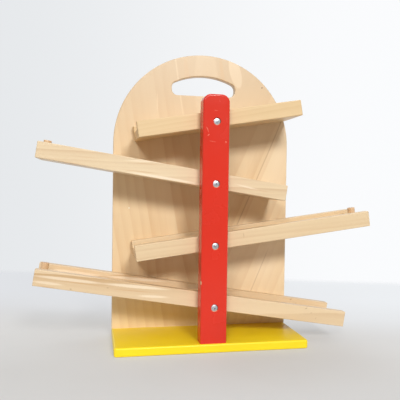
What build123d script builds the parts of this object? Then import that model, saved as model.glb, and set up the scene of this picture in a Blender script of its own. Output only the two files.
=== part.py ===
from build123d import *
import math
import os

# A wooden zig-zag car run: four sloping channelled boards between a tall back panel
# and a slim front post, all standing on one base board. Sizes are in millimetres.
# X runs to the right, Y to the back and Z up. The origin is the centre of the base
# board's underside. Tilts are in degrees, positive where a board's right end is high.

# Back panel, with a round top and a carrying slot that follows it
PANEL_WIDTH = 220.0
PANEL_THICKNESS = 10.0
PANEL_EASING = 1.0
SLOT_WIDTH = 80.0
SLOT_HEIGHT = 24.2
SLOT_CORNER = 7.5
SLOT_ABOVE_POST = 10.3
HANDLE_RIM = 26.0

# Base board, which reaches a little in front of the post
BASE_THICKNESS = 10.0
BASE_LIP = 2.0
BASE_CORNER = 3.0
BASE_EASING = 2.0

# Front post
POST_WIDTH = 30.0
POST_THICKNESS = 18.0
POST_OFFSET = -1.0
POST_ABOVE_TOP_SCREW = 29.9
POST_CORNER = 9.0
POST_EASING = 2.0

# Ramp boards, all of one section
RAMP_DEPTH = 60.0
RAMP_THICKNESS = 18.0
CHANNEL_WIDTH = 40.0
CHANNEL_DEPTH = 8.0
RAMP_EASING = 0.8

# Where each ramp lies: its length, its tilt, the X of its underside's left end, and
# how far its underside lies below the post screw that holds it
TOP_RAMP_LENGTH = 193.5
TOP_RAMP_TILT = 9.5
TOP_RAMP_LEFT = -84.3
TOP_RAMP_SEAT = 4.6
UPPER_RAMP_LENGTH = 284.5
UPPER_RAMP_TILT = -8.86
UPPER_RAMP_LEFT = -194.2
UPPER_RAMP_SEAT = 4.7
LOWER_RAMP_LENGTH = 283.5
LOWER_RAMP_TILT = 8.06
LOWER_RAMP_LEFT = -85.3
LOWER_RAMP_SEAT = 6.8
BOTTOM_RAMP_LENGTH = 363.5
BOTTOM_RAMP_TILT = -9.12
BOTTOM_RAMP_LEFT = -196.2
BOTTOM_RAMP_SEAT = 5.4

# Stop pegs, one in the high end of each ramp that a car drops onto
PEG_DIAMETER = 9.0
PEG_FROM_END = 7.6
PEG_RISE = 4.1
PEG_SUNK = 7.0
PEG_EASING = 0.6
PEG_CLEARANCE = 0.05

# Countersunk wood screws with a cross recess
SCREW_DIAMETER = 3.5
SCREW_HEAD = 7.0
SCREW_DOME = 0.5
SCREW_TIP = 4.0
POST_SCREW_LENGTH = 40.0
BOARD_SCREW_LENGTH = 35.0
RECESS_SPAN = 3.8
RECESS_WIDTH = 1.0
RECESS_DEPTH = 1.6
SCREW_CLEARANCE = 0.25
THREAD_CLEARANCE = 0.05

# Where the screws go
LOWEST_SCREW = 39.5
SCREW_PITCH = 68.7
POST_SCREW_SUNK = 1.0
POST_SCREW_SHIFT = 0.7
BOARD_SCREW_SUNK = 0.6
REAR_SCREW_MARGIN = 22.0
PANEL_SCREW_SPACING = 80.0
PANEL_SCREW_COUNT = 3

# Worked out from the sizes above
BASE_DEPTH = BASE_LIP + POST_THICKNESS + RAMP_DEPTH + PANEL_THICKNESS
PANEL_FACE_Y = BASE_DEPTH / 2 - PANEL_THICKNESS
PANEL_BACK_Y = BASE_DEPTH / 2
POST_BACK_Y = PANEL_FACE_Y - RAMP_DEPTH
POST_FACE_Y = POST_BACK_Y - POST_THICKNESS
TOP_SCREW_Z = BASE_THICKNESS + LOWEST_SCREW + 3 * SCREW_PITCH
POST_TOP_Z = TOP_SCREW_Z + POST_ABOVE_TOP_SCREW
SLOT_BOTTOM_Z = POST_TOP_Z + SLOT_ABOVE_POST
PANEL_TOP_Z = SLOT_BOTTOM_Z + SLOT_HEIGHT + HANDLE_RIM
ARCH_RADIUS = PANEL_WIDTH / 2
ARCH_CENTRE_Z = PANEL_TOP_Z - ARCH_RADIUS
FLOOR_THICKNESS = RAMP_THICKNESS - CHANNEL_DEPTH
PEG_LENGTH = PEG_SUNK + CHANNEL_DEPTH + PEG_RISE


class Ramp:
    """One sloping board: where it lies, and where its fasteners go."""

    def __init__(self, name, level, length, tilt, left, seat, has_stop):
        self.name = name
        self.length = length
        self.tilt = tilt
        self.left = left
        self.screw_z = BASE_THICKNESS + LOWEST_SCREW + level * SCREW_PITCH
        self.seat = seat
        self.has_stop = has_stop

    def underside(self, x):
        """Height of the underside at one X."""
        return self.screw_z - self.seat + (x - POST_OFFSET) * math.tan(math.radians(self.tilt))

    def place(self):
        """From the board's own frame, with X along it from its left end, to the part's."""
        return Location((self.left, PANEL_FACE_Y, self.underside(self.left)), (0, -self.tilt, 0))

    def peg_at(self):
        """Distance of the stop peg along the board from its left end."""
        return self.length - PEG_FROM_END if self.tilt > 0 else PEG_FROM_END

    def rear_screws(self):
        """X and Z of the two screws that come through the back panel."""
        right = self.left + self.length * math.cos(math.radians(self.tilt))
        first = max(self.left, -ARCH_RADIUS) + REAR_SCREW_MARGIN
        last = min(right, ARCH_RADIUS) - REAR_SCREW_MARGIN
        rise = FLOOR_THICKNESS / 2 / math.cos(math.radians(self.tilt))
        return [(x, self.underside(x) + rise) for x in (first, last)]


RAMPS = [
    Ramp("top_ramp", 3, TOP_RAMP_LENGTH, TOP_RAMP_TILT, TOP_RAMP_LEFT, TOP_RAMP_SEAT, False),
    Ramp("upper_ramp", 2, UPPER_RAMP_LENGTH, UPPER_RAMP_TILT, UPPER_RAMP_LEFT, UPPER_RAMP_SEAT, True),
    Ramp("lower_ramp", 1, LOWER_RAMP_LENGTH, LOWER_RAMP_TILT, LOWER_RAMP_LEFT, LOWER_RAMP_SEAT, True),
    Ramp("bottom_ramp", 0, BOTTOM_RAMP_LENGTH, BOTTOM_RAMP_TILT, BOTTOM_RAMP_LEFT, BOTTOM_RAMP_SEAT, True),
]


# ---- Fasteners: a screw is made pointing down, with its head's rim at Z = 0 ----

def wood_screw(length):
    """Countersunk screw: low domed head with a cross recess, plain shank, pointed tip."""
    radius = SCREW_DIAMETER / 2
    head_depth = (SCREW_HEAD - SCREW_DIAMETER) / 2
    outline = Polyline((0, SCREW_DOME), (0, -length), (radius, SCREW_TIP - length),
                       (radius, -head_depth), (SCREW_HEAD / 2, 0))
    dome = ThreePointArc((SCREW_HEAD / 2, 0), (SCREW_HEAD / 4, SCREW_DOME * 0.75), (0, SCREW_DOME))
    profile = make_face(outline.edges() + dome.edges())
    body = revolve(Plane.XZ * profile, Axis.Z)
    return body - cross_recess()


def cross_recess():
    """Four-armed recess that narrows to a blunt point."""
    depth = RECESS_DEPTH + SCREW_DOME
    arms = Box(RECESS_SPAN, RECESS_WIDTH, depth) + Box(RECESS_WIDTH, RECESS_SPAN, depth)
    narrowing = Cone(RECESS_WIDTH / 2, RECESS_SPAN / 2, depth)
    return Pos(0, 0, SCREW_DOME - depth / 2) * (arms & narrowing)


def clearance_hole(through, sunk):
    """Hole with a countersink that leaves the screw's head below the surface at Z = 0."""
    radius = SCREW_DIAMETER / 2 + SCREW_CLEARANCE
    mouth = SCREW_HEAD / 2 + sunk
    cone_depth = mouth - radius
    cone = Pos(0, 0, -cone_depth / 2) * Cone(radius, mouth, cone_depth)
    return cone + Pos(0, 0, -through / 2) * Cylinder(radius, through)


def pilot_hole(length, sunk):
    """Hole that the screw's thread holds in, as deep as its tip goes."""
    return Pos(0, 0, -sunk - length / 2) * Cylinder(SCREW_DIAMETER / 2 + THREAD_CLEARANCE, length)


def post_screw_place(ramp):
    """On the post's front face, a little right of its middle, pointing back."""
    return Location((POST_OFFSET + POST_SCREW_SHIFT, POST_FACE_Y, ramp.screw_z), (90, 0, 0))


def rear_screw_places(ramp):
    """On the panel's back face, pointing forwards."""
    return [Location((x, PANEL_BACK_Y, z), (-90, 0, 0)) for x, z in ramp.rear_screws()]


def panel_screw_places():
    """On the base's underside, in a row below the panel, pointing up."""
    first = -PANEL_SCREW_SPACING * (PANEL_SCREW_COUNT - 1) / 2
    y = PANEL_BACK_Y - PANEL_THICKNESS / 2
    return [Location((first + PANEL_SCREW_SPACING * i, y, 0), (180, 0, 0)) for i in range(PANEL_SCREW_COUNT)]


def foot_screw_place():
    """On the base's underside below the middle of the post, pointing up."""
    return Location((POST_OFFSET, POST_BACK_Y - POST_THICKNESS / 2, 0), (180, 0, 0))


def screws_in(places, length, sunk):
    """One screw at each place, its head's rim below the surface by sunk."""
    return [place * Pos(0, 0, -sunk) * wood_screw(length) for place in places]


# ---- Boards ----

def base_board():
    """Flat board with rounded corners and edges, drilled for the screws from below."""
    centre_z = BASE_THICKNESS / 2
    board = Pos(0, 0, centre_z) * Box(PANEL_WIDTH, BASE_DEPTH, BASE_THICKNESS)
    board = fillet(board.edges().filter_by(Axis.Z), BASE_CORNER)
    flats = board.faces().filter_by(Axis.Z)
    board = fillet(flats.edges(), BASE_EASING)
    for place in [*panel_screw_places(), foot_screw_place()]:
        board -= place * clearance_hole(BASE_THICKNESS, BOARD_SCREW_SUNK)
    return board


def slot_outline():
    """Carrying slot: flat below, and an arc above that runs parallel to the panel's top."""
    arc = Pos(0, ARCH_CENTRE_Z) * Circle(ARCH_RADIUS - HANDLE_RIM)
    tall = PANEL_TOP_Z - SLOT_BOTTOM_Z
    opening = Pos(0, SLOT_BOTTOM_Z + tall / 2) * Rectangle(SLOT_WIDTH, tall)
    side = ARCH_CENTRE_Z + math.sqrt((ARCH_RADIUS - HANDLE_RIM) ** 2 - (SLOT_WIDTH / 2) ** 2) - SLOT_BOTTOM_Z
    slot = opening & arc
    return fillet(slot.vertices(), min(SLOT_CORNER, 0.55 * side))


def back_panel():
    """Upright board on the rear of the base, half round at the top."""
    straight = ARCH_CENTRE_Z - BASE_THICKNESS
    outline = Pos(0, BASE_THICKNESS + straight / 2) * Rectangle(PANEL_WIDTH, straight)
    outline += Pos(0, ARCH_CENTRE_Z) * Circle(ARCH_RADIUS)
    outline -= slot_outline()
    panel = extrude(Plane.XZ.offset(-PANEL_BACK_Y) * outline, PANEL_THICKNESS)
    flats = panel.faces().filter_by(Axis.Y)
    eased = [edge for edge in flats.edges() if edge.center().Z > BASE_THICKNESS + PANEL_EASING]
    panel = fillet(eased, PANEL_EASING)
    for ramp in RAMPS:
        for place in rear_screw_places(ramp):
            panel -= place * clearance_hole(PANEL_THICKNESS, BOARD_SCREW_SUNK)
    for place in panel_screw_places():
        panel -= place * pilot_hole(BOARD_SCREW_LENGTH, BOARD_SCREW_SUNK)
    return panel


def front_post():
    """Slim upright with rounded top corners and softened edges."""
    height = POST_TOP_Z - BASE_THICKNESS
    centre = Pos(POST_OFFSET, POST_BACK_Y - POST_THICKNESS / 2, BASE_THICKNESS + height / 2)
    post = centre * Box(POST_WIDTH, POST_THICKNESS, height)
    top = post.edges().filter_by(Axis.Y).group_by(Axis.Z)[-1]
    post = fillet(top, POST_CORNER)
    flats = post.faces().filter_by(Axis.Y)
    eased = [edge for edge in flats.edges() if edge.center().Z > BASE_THICKNESS + POST_EASING]
    post = fillet(eased, POST_EASING)
    for ramp in RAMPS:
        post -= post_screw_place(ramp) * clearance_hole(POST_THICKNESS, POST_SCREW_SUNK)
    post -= foot_screw_place() * pilot_hole(BOARD_SCREW_LENGTH, BOARD_SCREW_SUNK)
    return post


def ramp_board(ramp):
    """Board with one open-ended channel along its top, drilled for its peg and screws."""
    centre = Pos(ramp.length / 2, -RAMP_DEPTH / 2, RAMP_THICKNESS / 2)
    board = centre * Box(ramp.length, RAMP_DEPTH, RAMP_THICKNESS)
    channel = Box(ramp.length, CHANNEL_WIDTH, CHANNEL_DEPTH)
    board -= centre * Pos(0, 0, FLOOR_THICKNESS / 2) * channel
    inner = [edge for edge in board.edges().filter_by(Axis.X)
             if abs(edge.center().Z - FLOOR_THICKNESS) < RAMP_EASING]
    board = fillet([edge for edge in board.edges() if edge not in inner], RAMP_EASING)
    if ramp.has_stop:
        board -= peg_place(ramp) * Cylinder(PEG_DIAMETER / 2 + PEG_CLEARANCE, PEG_LENGTH)
    board = ramp.place() * board
    board -= post_screw_place(ramp) * pilot_hole(POST_SCREW_LENGTH, POST_SCREW_SUNK)
    for place in rear_screw_places(ramp):
        board -= place * pilot_hole(BOARD_SCREW_LENGTH, BOARD_SCREW_SUNK)
    return board


# ---- Stop pegs ----

def peg_place(ramp):
    """Middle of the peg, in the board's own frame."""
    middle = FLOOR_THICKNESS - PEG_SUNK + PEG_LENGTH / 2
    return Pos(ramp.peg_at(), -RAMP_DEPTH / 2, middle)


def stop_peg(ramp):
    """Dowel glued upright into the channel's floor."""
    peg = Cylinder(PEG_DIAMETER / 2, PEG_LENGTH)
    peg = fillet(peg.edges().filter_by(GeomType.CIRCLE), PEG_EASING)
    return ramp.place() * peg_place(ramp) * peg


# ---- The whole toy ----

def all_nodes():
    """Every node's name with its solid or group of solids."""
    nodes = {"base_board": base_board(), "back_panel": back_panel(), "front_post": front_post()}
    for ramp in RAMPS:
        nodes[ramp.name] = ramp_board(ramp)
        if ramp.has_stop:
            nodes[f"{ramp.name}_stop_peg"] = stop_peg(ramp)
        post_screw = screws_in([post_screw_place(ramp)], POST_SCREW_LENGTH, POST_SCREW_SUNK)
        nodes[f"{ramp.name}_post_screw"] = post_screw[0]
        rear = screws_in(rear_screw_places(ramp), BOARD_SCREW_LENGTH, BOARD_SCREW_SUNK)
        nodes[f"{ramp.name}_rear_screws"] = Compound(children=rear)
    row = screws_in(panel_screw_places(), BOARD_SCREW_LENGTH, BOARD_SCREW_SUNK)
    nodes["panel_foot_screws"] = Compound(children=row)
    foot = screws_in([foot_screw_place()], BOARD_SCREW_LENGTH, BOARD_SCREW_SUNK)
    nodes["post_foot_screw"] = foot[0]
    return nodes


os.makedirs("parts", exist_ok=True)
for name, shape in all_nodes().items():
    export_step(shape, f"parts/{name}.step")
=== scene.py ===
import math
import bmesh
import bpy
from mathutils import Matrix, Vector


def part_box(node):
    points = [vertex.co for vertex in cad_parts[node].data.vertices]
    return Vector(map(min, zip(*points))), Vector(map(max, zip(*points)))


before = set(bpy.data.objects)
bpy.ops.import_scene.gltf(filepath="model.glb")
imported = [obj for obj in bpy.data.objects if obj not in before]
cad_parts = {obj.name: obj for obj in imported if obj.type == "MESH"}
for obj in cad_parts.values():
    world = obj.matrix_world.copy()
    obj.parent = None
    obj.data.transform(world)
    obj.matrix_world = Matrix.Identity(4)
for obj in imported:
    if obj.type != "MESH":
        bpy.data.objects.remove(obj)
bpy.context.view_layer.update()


# ---- Base board ----
# One flat softwood board that carries everything else. Its corners and edges are rounded over
# and it is sprayed with yellow gloss enamel, which still shows the sanded grain a little.
# The panel and the post are screwed to it from below.

class Wire:
    """One output among a finish's nodes. Arithmetic on wires adds Math nodes."""

    def __init__(self, tree, socket=None):
        self.tree = tree
        self.socket = socket

    def node(self, kind, settings=None, sockets=None, output=0):
        """Adds one node: its settings first, then its sockets' values or links."""
        made = self.tree.nodes.new("ShaderNode" + kind)
        for name, value in (settings or {}).items():
            setattr(made, name, value)
        for name, value in (sockets or {}).items():
            if isinstance(value, Wire):
                self.tree.links.new(value.socket, made.inputs[name])
            else:
                made.inputs[name].default_value = value
        return Wire(self.tree, made.outputs[output] if made.outputs else None)

    def math(self, operation, *values):
        """A Math node over the values, or over this wire alone."""
        return self.node("Math", {"operation": operation}, dict(enumerate(values or (self,))))

    def __add__(self, other):
        return self.math("ADD", self, other)

    def __radd__(self, other):
        return self.math("ADD", other, self)

    def __sub__(self, other):
        return self.math("SUBTRACT", self, other)

    def __rsub__(self, other):
        return self.math("SUBTRACT", other, self)

    def __mul__(self, other):
        return self.math("MULTIPLY", self, other)

    def __rmul__(self, other):
        return self.math("MULTIPLY", other, self)

    def __truediv__(self, other):
        return self.math("DIVIDE", self, other)

    def least(self, other):
        return self.math("MINIMUM", self, other)

    def most(self, other):
        return self.math("MAXIMUM", self, other)

    def fade(self, start, end, low=0.0, high=1.0):
        """Goes smoothly from low to high while the value goes from start to end."""
        limits = {"From Min": start, "From Max": end, "To Min": low, "To Max": high}
        return self.node("MapRange", {"interpolation_type": "SMOOTHSTEP"}, {"Value": self, **limits})

    def near(self, middle, reach):
        """1 where the value is at the middle, 0 where it is further away than the reach."""
        return (self - middle).math("ABSOLUTE").fade(reach, 0.0)

    def axis(self, name):
        """One coordinate of a place."""
        return self.node("SeparateXYZ", {}, {"Vector": self}, name)

    def vector(self, operation, other):
        """A place with another place or three numbers added, multiplied and so on."""
        return self.node("VectorMath", {"operation": operation}, {0: self, 1: other})

    def grain(self, per_metre, detail=2.0, output="Fac"):
        """Noise with so many bumps per metre along each axis of a place."""
        scaled = self.vector("MULTIPLY", per_metre)
        return self.node("TexNoise", {}, {"Vector": scaled, "Scale": 1.0, "Detail": detail}, output)

    def seen_from(self, place, turn=(0, 0, 0), size=(1, 1, 1)):
        """A place measured from another point, along turned and scaled axes."""
        sockets = {"Vector": self, "Location": place, "Rotation": turn, "Scale": size}
        return self.node("Mapping", {"vector_type": "TEXTURE"}, sockets)

    def tinted(self, colour, share):
        """A colour mixed with another by a share."""
        other = colour if isinstance(colour, Wire) else (*colour, 1)
        return self.node("Mix", {"data_type": "RGBA"}, {0: share, 6: self, 7: other}, 2)

    def plain(self, colour):
        """A colour that is the same everywhere, to be tinted."""
        return self.node("Mix", {"data_type": "RGBA"}, {0: 0.0, 6: (*colour, 1), 7: (*colour, 1)}, 2)


def begin_finish(name):
    """An empty finish, and the place on the object, in metres, that its pattern starts from."""
    material = bpy.data.materials.new(name)
    material.use_nodes = True
    material.node_tree.nodes.clear()
    return material, Wire(material.node_tree).node("TexCoord", output="Object")


def end_finish(place, height, strength, depth, sockets):
    """The surface itself, roughened by a height pattern that is so many metres deep."""
    bump = place.node("Bump", {}, {"Strength": strength, "Distance": depth, "Height": height})
    shader = place.node("BsdfPrincipled", {}, {**sockets, "Normal": bump})
    place.node("OutputMaterial", {}, {"Surface": shader})


def dress(node, material):
    """Gives a piece its finish."""
    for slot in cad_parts[node].material_slots:
        slot.material = material


def to_edge(place, node):
    """How far a point on a board's surface lies from the nearest edge of its box."""
    gaps = []
    for axis, low, high in zip("XYZ", *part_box(node)):
        along = place.axis(axis)
        gaps.append((along - low).least(high - along))
    x_gap, y_gap, z_gap = gaps
    return x_gap.least(y_gap).most(x_gap.most(y_gap).least(z_gap))


def oval(place, point, size, turn=(0, 0, 0), ragged=0.0012, core=0.7):
    """1 in the core of a small ragged oval at one point of the surface, 0 outside it."""
    shake = place.grain((700, 700, 700), 3, "Color").vector("SUBTRACT", (0.5, 0.5, 0.5))
    shaken = shake.vector("MULTIPLY", (ragged, ragged, ragged)).vector("ADD", place)
    inside = shaken.seen_from(point, turn, size)
    return inside.node("VectorMath", {"operation": "LENGTH"}, {0: inside}, "Value").fade(1.0, core)


def enamel(name, node, colour, fibres, gloss, marks=()):
    """Gloss paint over a sanded board, with the fibres' bumps per metre along each axis."""
    material, place = begin_finish(name)
    cloud = place.grain((14, 14, 14), 3)
    smudge = place.grain((40, 40, 40), 4)
    fibre = place.grain(fibres, 3)
    peel = place.grain((520, 520, 520), 1)
    edge = to_edge(place, node)
    nick = (place.grain((430, 430, 430), 3) + edge.fade(0.0, 0.0022, 0.10, -0.3)).fade(0.74, 0.76)
    deep = tuple(0.86 * c for c in colour)
    thin = tuple(min(1, 1.08 * c + 0.012) for c in colour)
    shade = place.plain(colour).tinted(deep, cloud.fade(0.35, 0.75) * 0.5)
    shade = shade.tinted(thin, edge.fade(0.0025, 0.0, 0, 0.3))
    dent = nick
    for mark, tint, share in marks:
        cut = mark(place)
        shade = shade.tinted(tint, cut * share)
        dent = dent.most(cut)
    shade = shade.tinted(BARE_WOOD, nick * 0.85)
    end_finish(place, fibre * 0.35 + peel * 0.12 - dent * 1.0, 0.35, 0.0003, {
        "Base Color": shade,
        "Roughness": smudge.fade(0.3, 0.7, gloss, gloss + 0.09).most(dent * 0.6),
        "Coat Weight": 0.1,
        "Coat Roughness": 0.14,
        "Specular IOR Level": 0.35,
    })
    return material


BARE_WOOD = (0.74, 0.53, 0.33)
YELLOW = (0.95, 0.72, 0.012)
dress("base_board", enamel("yellow_enamel", "base_board", YELLOW, (22, 420, 420), 0.34))


# ---- Back panel ----
# A flat-sawn board of light wood with upright grain, sawn to a half round at the top with a
# carrying slot, sanded and finished with a thin clear lacquer. It stands on the base board and
# is screwed to it from below; every ramp is screwed to it from behind.

def timber(name, corner, turn, pale, dark, pith, lean, taper, ring, seed, contrast=1.0, marks=()):
    """Lacquered wood in a board's own frame: X along the grain, the rings round a leaning pith
    line whose cone narrows upwards, with fibres, pores and darker end grain."""
    material, place = begin_finish(name)
    board = place.seen_from(corner, turn)
    wander = board.vector("ADD", (seed, seed * 0.7, 0)).grain((4, 11, 11), 2, "Color")
    along = board.axis("X")
    across = board.axis("Y") - along * lean[0] + (wander.axis("X") - 0.5) * 0.010 - pith[0]
    above = board.axis("Z") - along * lean[1] + (wander.axis("Y") - 0.5) * 0.010 - pith[1]
    reach = (across * across + above * above).math("SQRT") - along * taper
    count = reach / ring
    number = count.math("FLOOR")
    year = count.math("FRACT")
    tone = number.node("TexWhiteNoise", {"noise_dimensions": "1D"}, {"W": number + seed}, "Value")
    late = year.fade(0.2, 0.93) * year.fade(1.0, 0.94)
    streak = board.vector("ADD", (0, seed, seed)).grain((5, 190, 190), 3)
    fibre = board.grain((26, 1500, 1500), 3)
    pore = board.grain((130, 2600, 2600), 1).fade(0.64, 0.74)
    cloud = board.vector("ADD", (seed, 0, 0)).grain((6, 17, 17), 2)
    facing = place.node("TexCoord", output="Normal")
    grain_way = Matrix.Rotation(turn[1], 3, "Y") @ Vector((1, 0, 0))
    end = facing.node("VectorMath", {"operation": "DOT_PRODUCT"}, {0: facing, 1: grain_way}, "Value")
    end = end.math("ABSOLUTE").fade(0.6, 0.95)
    share = late * (0.2 + 0.5 * tone) + (tone - 0.5) * 0.8 + (streak - 0.5) * 0.7
    share = (share + (fibre - 0.5) * 0.3 + (cloud - 0.5) * 0.9) * contrast + 0.33
    share = (share + pore * 0.14 * contrast + end * 0.35).fade(0, 1)
    shade = place.plain(pale).tinted(dark, share)
    for mark, tint, opacity in marks:
        shade = shade.tinted(tint, mark(place, reach) * opacity)
    end_finish(place, fibre * 0.5 - pore * 0.8 + late * 0.3 + streak * 0.2, 0.35, 0.0002, {
        "Base Color": shade,
        "Roughness": fibre.fade(0.3, 0.7, 0.40, 0.52),
        "Coat Weight": 0.2,
        "Coat Roughness": 0.3,
        "Specular IOR Level": 0.8,
    })
    return material


UPRIGHT = (0, -math.pi / 2, 0)
PANEL_PALE = (0.88, 0.69, 0.425)
PANEL_DARK = (0.72, 0.48, 0.24)
GRAIN_LINE = (0.50, 0.31, 0.14)
SAP_PALE = (0.92, 0.75, 0.52)
# Painted shade for the panel's upper part, where the lamps fall stronger.
PANEL_TOP_PAINTED_SHADE = (0.66, 0.49, 0.30)
panel_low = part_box("back_panel")[0]
panel_foot = (0.0, panel_low.y, 0.0)


def right_of(place, low, high):
    """1 on the right of the cathedral's middle between two heights, fading at both ends."""
    height = place.axis("Z")
    side = (place.axis("X") - height * 0.12).fade(0.0, 0.02)
    return side * height.fade(low - 0.012, low + 0.012) * height.fade(high + 0.012, high - 0.012)


def streak(x, z, half_length, half_width, degrees, tint, share, core=0.2):
    """A lens of paler or darker wood on the front, its long way so many degrees from level."""
    size = (half_length, 1.0, half_width)
    turn = (0, -math.radians(degrees), 0)
    return (lambda place, reach: oval(place, (x, 0, z), size, turn, 0.0006, core), tint, share)


# The first mark paints the wood browner towards the top, where the lamps fall stronger on it. The
# others are streaks, lines and specks, placed after the real board.
panel_marks = [
    # Painted shade: the wood is made browner towards the top, where the lamps fall stronger.
    (lambda place, reach: place.axis("Z").fade(0.17, 0.34), PANEL_TOP_PAINTED_SHADE, 0.8),
    streak(0.003, 0.310, 0.060, 0.017, 92, SAP_PALE, 0.20, 0.75),
    streak(0.023, 0.325, 0.026, 0.003, 98, PANEL_DARK, 0.35, 0.5),
    streak(0.040, 0.327, 0.022, 0.008, 106, SAP_PALE, 0.50, 0.8),
    streak(-0.022, 0.325, 0.030, 0.004, 96, PANEL_DARK, 0.25, 0.4),
    streak(-0.0575, 0.285, 0.018, 0.0012, 90, SAP_PALE, 0.35),
    streak(0.098, 0.215, 0.060, 0.014, 84, SAP_PALE, 0.2),
    streak(0.084, 0.095, 0.040, 0.022, 75, SAP_PALE, 0.4),
    (lambda place, reach: reach.fade(0.004, 0.006) * right_of(place, 0.02, 0.30), SAP_PALE, 0.30),
    (lambda place, reach: reach.near(0.0045, 0.0013) * right_of(place, 0.13, 0.28), GRAIN_LINE, 0.55),
    (lambda place, reach: reach.near(0.0550, 0.0012) * right_of(place, 0.04, 0.10), GRAIN_LINE, 0.45),
    (lambda place, reach: reach.near(-0.0195, 0.0013) * place.axis("X").fade(0.01, -0.01)
        * place.axis("Z").fade(0.26, 0.285), SAP_PALE, 0.40),
    (lambda place, reach: oval(place, (0.0751, panel_low.y, 0.3097), (0.0011, 0.004, 0.0012)),
        (0.22, 0.09, 0.03), 0.9),
    (lambda place, reach: oval(place, (-0.0905, panel_low.y, 0.1566), (0.0010, 0.004, 0.0009)),
        (0.97, 0.93, 0.84), 0.9),
]
dress("back_panel", timber(
    "panel_wood", panel_foot, UPRIGHT, PANEL_PALE, PANEL_DARK,
    pith=(0.020, 0.006), lean=(0.0, -0.12), taper=0.27, ring=0.0105, seed=3.0,
    contrast=0.30, marks=panel_marks))


# ---- Front post ----
# A slim softwood upright with rounded top corners, dipped in red gloss enamel. It stands at the
# front of the base and is screwed into the front edge of each ramp through countersunk holes.
# Each hole's wall is rubbed bare on one side and carries painted shade on the other.

RED = (0.68, 0.028, 0.010)
SCRAPED_RED = (0.90, 0.30, 0.20)
RUBBED_WALL = (0.62, 0.36, 0.22)
# Painted shade for the upper side of the holes' walls.
PAINTED_SHADE_WALL = (0.07, 0.02, 0.01)
HOLE_RADIUS = 0.0050
post_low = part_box("front_post")[0]


def scrape(x, z, length, width, degrees):
    """A scratch in the post's face that shows the undercoat."""
    turn = (0, math.radians(degrees), 0)
    return lambda place: oval(place, (x, post_low.y, z), (width, 0.004, length), turn)


def countersink(node, degrees):
    """One side of the hole's wall round a screw's head, ragged at the rim."""
    low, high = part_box(node)
    axis_x = (low.x + high.x) / 2
    axis_z = (low.z + high.z) / 2
    way = math.radians(degrees)

    def wall(place):
        from_axis = place.seen_from((axis_x, 0, axis_z), (0, 0, 0), (1, 1e6, 1))
        radius = from_axis.node("VectorMath", {"operation": "LENGTH"}, {0: from_axis}, "Value")
        toward = from_axis.axis("X") * math.cos(way) + from_axis.axis("Z") * math.sin(way)
        ragged = place.grain((900, 900, 900), 2) * 0.0006
        inside = (place.axis("Y") - ragged).fade(post_low.y, post_low.y + 0.0003)
        return radius.fade(HOLE_RADIUS + 0.0002, HOLE_RADIUS) * inside * toward.fade(-0.0008, 0.0014)

    return wall


post_marks = [
    (scrape(-0.0110, 0.2465, 0.0038, 0.0005, -24), SCRAPED_RED, 0.55),
    (scrape(-0.0098, 0.2405, 0.0016, 0.0006, 40), SCRAPED_RED, 0.55),
    (scrape(0.0098, 0.2333, 0.0012, 0.0009, -30), SCRAPED_RED, 0.5),
    (scrape(-0.0018, 0.2674, 0.0004, 0.0022, 4), SCRAPED_RED, 0.3),
    (scrape(-0.0055, 0.2335, 0.0004, 0.0045, 8), SCRAPED_RED, 0.25),
    (scrape(-0.0163, 0.0780, 0.0030, 0.0012, 0), BARE_WOOD, 0.9),
]
for ramp in ("top_ramp", "upper_ramp", "lower_ramp", "bottom_ramp"):
    post_marks.append((countersink(ramp + "_post_screw", -60), RUBBED_WALL, 0.8))
    # The upper right of each hole's wall is painted shade, dark as if shadowed.
    post_marks.append((countersink(ramp + "_post_screw", 50), PAINTED_SHADE_WALL, 0.85))
dress("front_post", enamel("red_enamel", "front_post", RED, (420, 420, 22), 0.20, post_marks))


# ---- Ramps ----
# Four pine boards of one section, each with a channel routed along its top for small wheels,
# sanded and lacquered. Each is cut from another board, so its grain and tone are its own, and its
# streaks and knots are placed after the real one.

RAMP_THICKNESS = 0.018


def ramp_corner(node, tilt):
    """The underside's left end at the back of a ramp, from its box and its tilt."""
    low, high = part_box(node)
    if tilt > 0:
        return (low.x + RAMP_THICKNESS * math.sin(tilt), high.y, low.z)
    return (low.x, high.y, high.z - RAMP_THICKNESS * math.cos(tilt))


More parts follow.
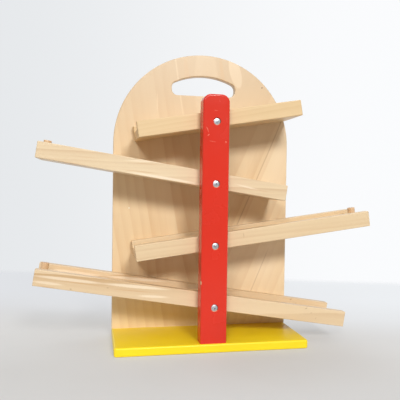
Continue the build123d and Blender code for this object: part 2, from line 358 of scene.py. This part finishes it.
PALE_STREAK = (0.92, 0.78, 0.58)
BROWN_STREAK = (0.62, 0.36, 0.165)
KNOT = (0.34, 0.19, 0.08)
RAMP_FIGURE = {
    "top_ramp": (
        streak(-0.040, 0.246, 0.030, 0.0012, 7, BROWN_STREAK, 0.30),
        streak(0.060, 0.262, 0.035, 0.0014, 8, BROWN_STREAK, 0.30),
    ),
    "upper_ramp": (
        streak(-0.156, 0.2070, 0.022, 0.0015, -7, BROWN_STREAK, 0.30),
        streak(-0.152, 0.2205, 0.016, 0.0007, -1.5, BROWN_STREAK, 0.30),
        streak(-0.140, 0.2135, 0.018, 0.0006, -3.5, BROWN_STREAK, 0.35),
        streak(-0.082, 0.1995, 0.030, 0.0008, -5, BROWN_STREAK, 0.60),
        streak(-0.077, 0.2080, 0.022, 0.0007, -3.5, BROWN_STREAK, 0.45),
        streak(-0.083, 0.2110, 0.022, 0.0013, -1.5, PALE_STREAK, 0.60),
        streak(-0.057, 0.1930, 0.046, 0.0019, -8.5, PALE_STREAK, 0.80, 0.5),
        streak(0.040, 0.1840, 0.019, 0.0015, -13.5, PALE_STREAK, 0.70),
        streak(0.053, 0.1805, 0.027, 0.0007, -7.5, BROWN_STREAK, 0.50),
    ),
    "lower_ramp": (
        streak(0.037, 0.1285, 0.004, 0.0010, -82, KNOT, 0.35),
        streak(-0.055, 0.1250, 0.030, 0.0012, 9.5, PALE_STREAK, 0.40),
        streak(0.120, 0.1340, 0.040, 0.0008, 7, BROWN_STREAK, 0.25),
    ),
    "bottom_ramp": (
        streak(-0.159, 0.0815, 0.046, 0.0022, -8, PALE_STREAK, 0.65, 0.5),
        streak(-0.085, 0.0720, 0.044, 0.0023, -6.5, PALE_STREAK, 0.70, 0.5),
        streak(-0.145, 0.0770, 0.032, 0.0007, -9.5, BROWN_STREAK, 0.65),
        streak(-0.089, 0.0675, 0.036, 0.0008, -6, BROWN_STREAK, 0.50),
        streak(-0.180, 0.0780, 0.020, 0.0018, -8.5, PALE_STREAK, 0.55, 0.5),
        streak(-0.182, 0.0745, 0.015, 0.0009, -10, BROWN_STREAK, 0.55),
        streak(-0.066, 0.0605, 0.022, 0.0019, -4.5, PALE_STREAK, 0.65, 0.4),
        streak(-0.156, 0.0710, 0.0016, 0.0010, -11, KNOT, 0.60),
        streak(-0.1165, 0.0715, 0.0016, 0.0009, -9, KNOT, 0.50),
        streak(0.115, 0.0415, 0.0024, 0.0010, 20, KNOT, 0.55),
        streak(0.1215, 0.0360, 0.0016, 0.0009, 50, KNOT, 0.35),
        streak(0.1275, 0.0295, 0.0016, 0.0008, 60, KNOT, 0.35),
    ),
}
for node, degrees, pale, dark, pith, lean, ring, seed, contrast in (
    ("top_ramp", 9.5, (0.77, 0.565, 0.30), (0.60, 0.39, 0.17),
        (-0.090, -0.030), (0.02, 0.03), 0.0042, 11.0, 0.33),
    ("upper_ramp", -8.86, (0.80, 0.64, 0.41), (0.62, 0.43, 0.24),
        (-0.120, -0.050), (0.03, 0.09), 0.0030, 23.0, 0.36),
    ("lower_ramp", 8.06, (0.78, 0.61, 0.38), (0.61, 0.41, 0.21),
        (-0.085, 0.060), (0.01, -0.03), 0.0045, 37.0, 0.30),
    ("bottom_ramp", -9.12, (0.77, 0.595, 0.375), (0.55, 0.35, 0.165),
        (-0.100, -0.020), (0.02, 0.055), 0.0052, 53.0, 0.45),
):
    tilt = math.radians(degrees)
    dress(node, timber(
        node + "_wood", ramp_corner(node, tilt), (0, -tilt, 0), pale, dark,
        pith, lean, 0.0, ring, seed, contrast, RAMP_FIGURE[node]))


# ---- Stop pegs ----
# Short dowels glued upright into the channel's floor at the high end of three ramps. Their
# side grain is darker than the boards.

PEG_PALE = (0.78, 0.54, 0.31)
PEG_DARK = (0.57, 0.33, 0.165)
for number, (node, degrees) in enumerate((
    ("upper_ramp_stop_peg", -8.86), ("lower_ramp_stop_peg", 8.06), ("bottom_ramp_stop_peg", -9.12),
)):
    low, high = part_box(node)
    dress(node, timber(
        node + "_wood", tuple((low + high) / 2), (0, -math.radians(degrees) - math.pi / 2, 0),
        PEG_PALE, PEG_DARK, (0.02, 0.012), (0, 0), 0.0, 0.0016, 5.0 + number, 0.5))


# ---- Screws ----
# Countersunk wood screws with a cross recess, zinc plated. The plating is dulled in patches by a
# darker film.

def zinc(name):
    """Bright plated steel with faint turning marks and a dull film."""
    material, place = begin_finish(name)
    film = place.grain((420, 420, 420), 3)
    scuff = place.grain((1800, 1800, 1800), 2)
    shade = place.plain((0.63, 0.65, 0.68)).tinted((0.30, 0.29, 0.28), film.fade(0.45, 0.75) * 0.5)
    end_finish(place, scuff + film * 0.5, 0.3, 0.0001, {
        "Base Color": shade,
        "Metallic": 1.0,
        "Roughness": film.fade(0.3, 0.7, 0.26, 0.45),
    })
    return material


plating = zinc("zinc_plate")
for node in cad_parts:
    if "screw" in node:
        dress(node, plating)


# ---- Floor and backdrop ----
# A sheet of pale paper that fades out half a metre behind the toy, before a pale wall, and as far
# in front. Part of its brightness is a glow for the camera and reflections, which keeps the toy's
# shadow on it light, and a soft painted shadow darkens it in front of the toy.

PAPER_END = 0.455
PAPER_FRONT = -0.46
PAPER_FADE = 0.035
PAPER_TURN = 0.31
PAPER_WIDTH = 3.0
# The colour of the painted shadow on the paper in front of the toy.
PAPER_PAINTED_SHADOW = (0.52, 0.50, 0.47)
sheet_shape = bmesh.new()
bmesh.ops.create_grid(sheet_shape, x_segments=8, y_segments=8, size=0.5)
bmesh.ops.scale(sheet_shape, verts=sheet_shape.verts, vec=(PAPER_WIDTH, 1.0, 1.0))
for vert in sheet_shape.verts:
    vert.co.y -= vert.co.x * PAPER_TURN
floor_mesh = bpy.data.meshes.new("floor")
sheet_shape.to_mesh(floor_mesh)
sheet_shape.free()
floor = bpy.data.objects.new("floor", floor_mesh)
bpy.context.scene.collection.objects.link(floor)


def looked_at(wire):
    """1 for what is seen straight, in a reflection or through glass, 0 for light that falls."""
    camera_ray = wire.node("LightPath", output="Is Camera Ray")
    glossy_ray = wire.node("LightPath", output="Is Glossy Ray")
    return camera_ray.most(glossy_ray).most(wire.node("LightPath", output="Is Transmission Ray"))


paper, place = begin_finish("paper_floor")
back_way = place.axis("Y") + place.axis("X") * PAPER_TURN
mottle = place.grain((9, 9, 9), 4).fade(0.35, 0.7)
shade = place.plain((0.66, 0.67, 0.68)).tinted((0.62, 0.62, 0.62), mottle * 0.5)
lit = place.node("BsdfPrincipled", {}, {"Base Color": shade, "Roughness": 0.7, "Specular IOR Level": 0.2})
far = place.plain((0.77, 0.79, 0.825)).tinted((0.875, 0.90, 0.93), place.axis("X").fade(-0.25, 0.40))
near = place.plain((0.60, 0.60, 0.59)).tinted((0.74, 0.74, 0.735), back_way.fade(-0.16, 0.0))
near = near.tinted(far, back_way.fade(0.0, 0.16))
# A soft painted shadow on the paper in front of the toy, a little to its right.
painted_shadow = oval(place, (0.06, -0.09, 0), (0.18, 0.10, 1.0), (0, 0, 0), 0.0, 0.1)
near = near.tinted(PAPER_PAINTED_SHADOW, painted_shadow * 0.8)
glow = place.node("Emission", {}, {"Color": near, "Strength": 1.0})
share = looked_at(place) * back_way.fade(0.0, 0.30, 0.45, 0.88)
sheet = place.node("MixShader", {}, {0: share, 1: lit, 2: glow})
clear = place.node("BsdfTransparent")
gone = back_way.fade(PAPER_END - PAPER_FADE, PAPER_END + PAPER_FADE)
gone = gone.most(back_way.fade(PAPER_FRONT + PAPER_FADE, PAPER_FRONT - PAPER_FADE))
place.node("OutputMaterial", {}, {"Surface": place.node("MixShader", {}, {0: gone, 1: sheet, 2: clear})})
floor_mesh.materials.append(paper)

# The wall is what the camera and reflections see, greyer towards the front. The fill that lights
# the toy is a little warm, and stronger from above and from behind than from the front.
WALL_LEFT = (0.79, 0.81, 0.83)
WALL_RIGHT = (0.96, 0.97, 0.985)
FILL_FRONT = (0.25, 0.22, 0.19)
FILL_ABOVE = (1.0, 0.97, 0.93)

world = bpy.data.worlds.new("studio")
bpy.context.scene.world = world
world.use_nodes = True
world.node_tree.nodes.clear()
way = Wire(world.node_tree).node("TexCoord", output="Generated")
wall = way.plain(WALL_LEFT).tinted(WALL_RIGHT, way.axis("X").fade(-0.25, 0.5))
wall = wall.vector("MULTIPLY", way.axis("Y").fade(-0.30, 0.25, 0.55, 1.0))
bounce = way.axis("Z").fade(0.5, 0.95).most(way.axis("Y").fade(0.05, 0.5) * 0.6)
soft = way.plain(FILL_FRONT).tinted(FILL_ABOVE, bounce)
fill = way.node("Background", {}, {"Color": soft, "Strength": 1.0})
seen = way.node("Background", {}, {"Color": wall, "Strength": 1.0})
way.node("OutputWorld", {}, {"Surface": way.node("MixShader", {}, {0: looked_at(way), 1: fill, 2: seen})})


# ---- Lamps ----
# Two softboxes stand well in front of the toy, above the camera and to each side of it, and aim
# far below it. The right one is the stronger, so the ramps' deeper shadows fall to the left.

AIM = Vector((0.0, 0.03, -1.7))
SOFTBOX = 0.5
for name, place, power in (
    ("right_lamp", (0.338, -2.354, 1.461), 39.0),
    ("left_lamp", (-0.920, -2.354, 1.461), 25.9),
):
    box_light = bpy.data.lights.new(name, "AREA")
    box_light.shape = "SQUARE"
    box_light.size = SOFTBOX
    box_light.energy = power
    lamp = bpy.data.objects.new(name, box_light)
    lamp.location = place
    lamp.rotation_euler = (AIM - lamp.location).to_track_quat("-Z", "Y").to_euler()
    bpy.context.scene.collection.objects.link(lamp)


# ---- Camera ----
# It stands to the left of the middle at the height of the upper ramps, turned a little to the
# right and slightly down, and is not quite level.

CAMERA_PLACE = (-0.13066, -0.60605, 0.18410)
CAMERA_YAW = math.radians(11.273)
CAMERA_PITCH = math.radians(-1.493)
CAMERA_ROLL = math.radians(0.815)
SENSOR = 36.0
PICTURE = 400
FOCAL_PIXELS = 525.26

lens = bpy.data.cameras.new("camera")
lens.sensor_width = SENSOR
lens.lens = FOCAL_PIXELS * SENSOR / PICTURE
lens.clip_start = 0.01
camera = bpy.data.objects.new("camera", lens)
camera.matrix_world = (
    Matrix.Translation(CAMERA_PLACE)
    @ Matrix.Rotation(-CAMERA_YAW, 4, "Z")
    @ Matrix.Rotation(math.pi / 2 + CAMERA_PITCH, 4, "X")
    @ Matrix.Rotation(CAMERA_ROLL, 4, "Z")
)
bpy.context.scene.collection.objects.link(camera)
bpy.context.scene.camera = camera
bpy.context.scene.view_settings.view_transform = "Standard"
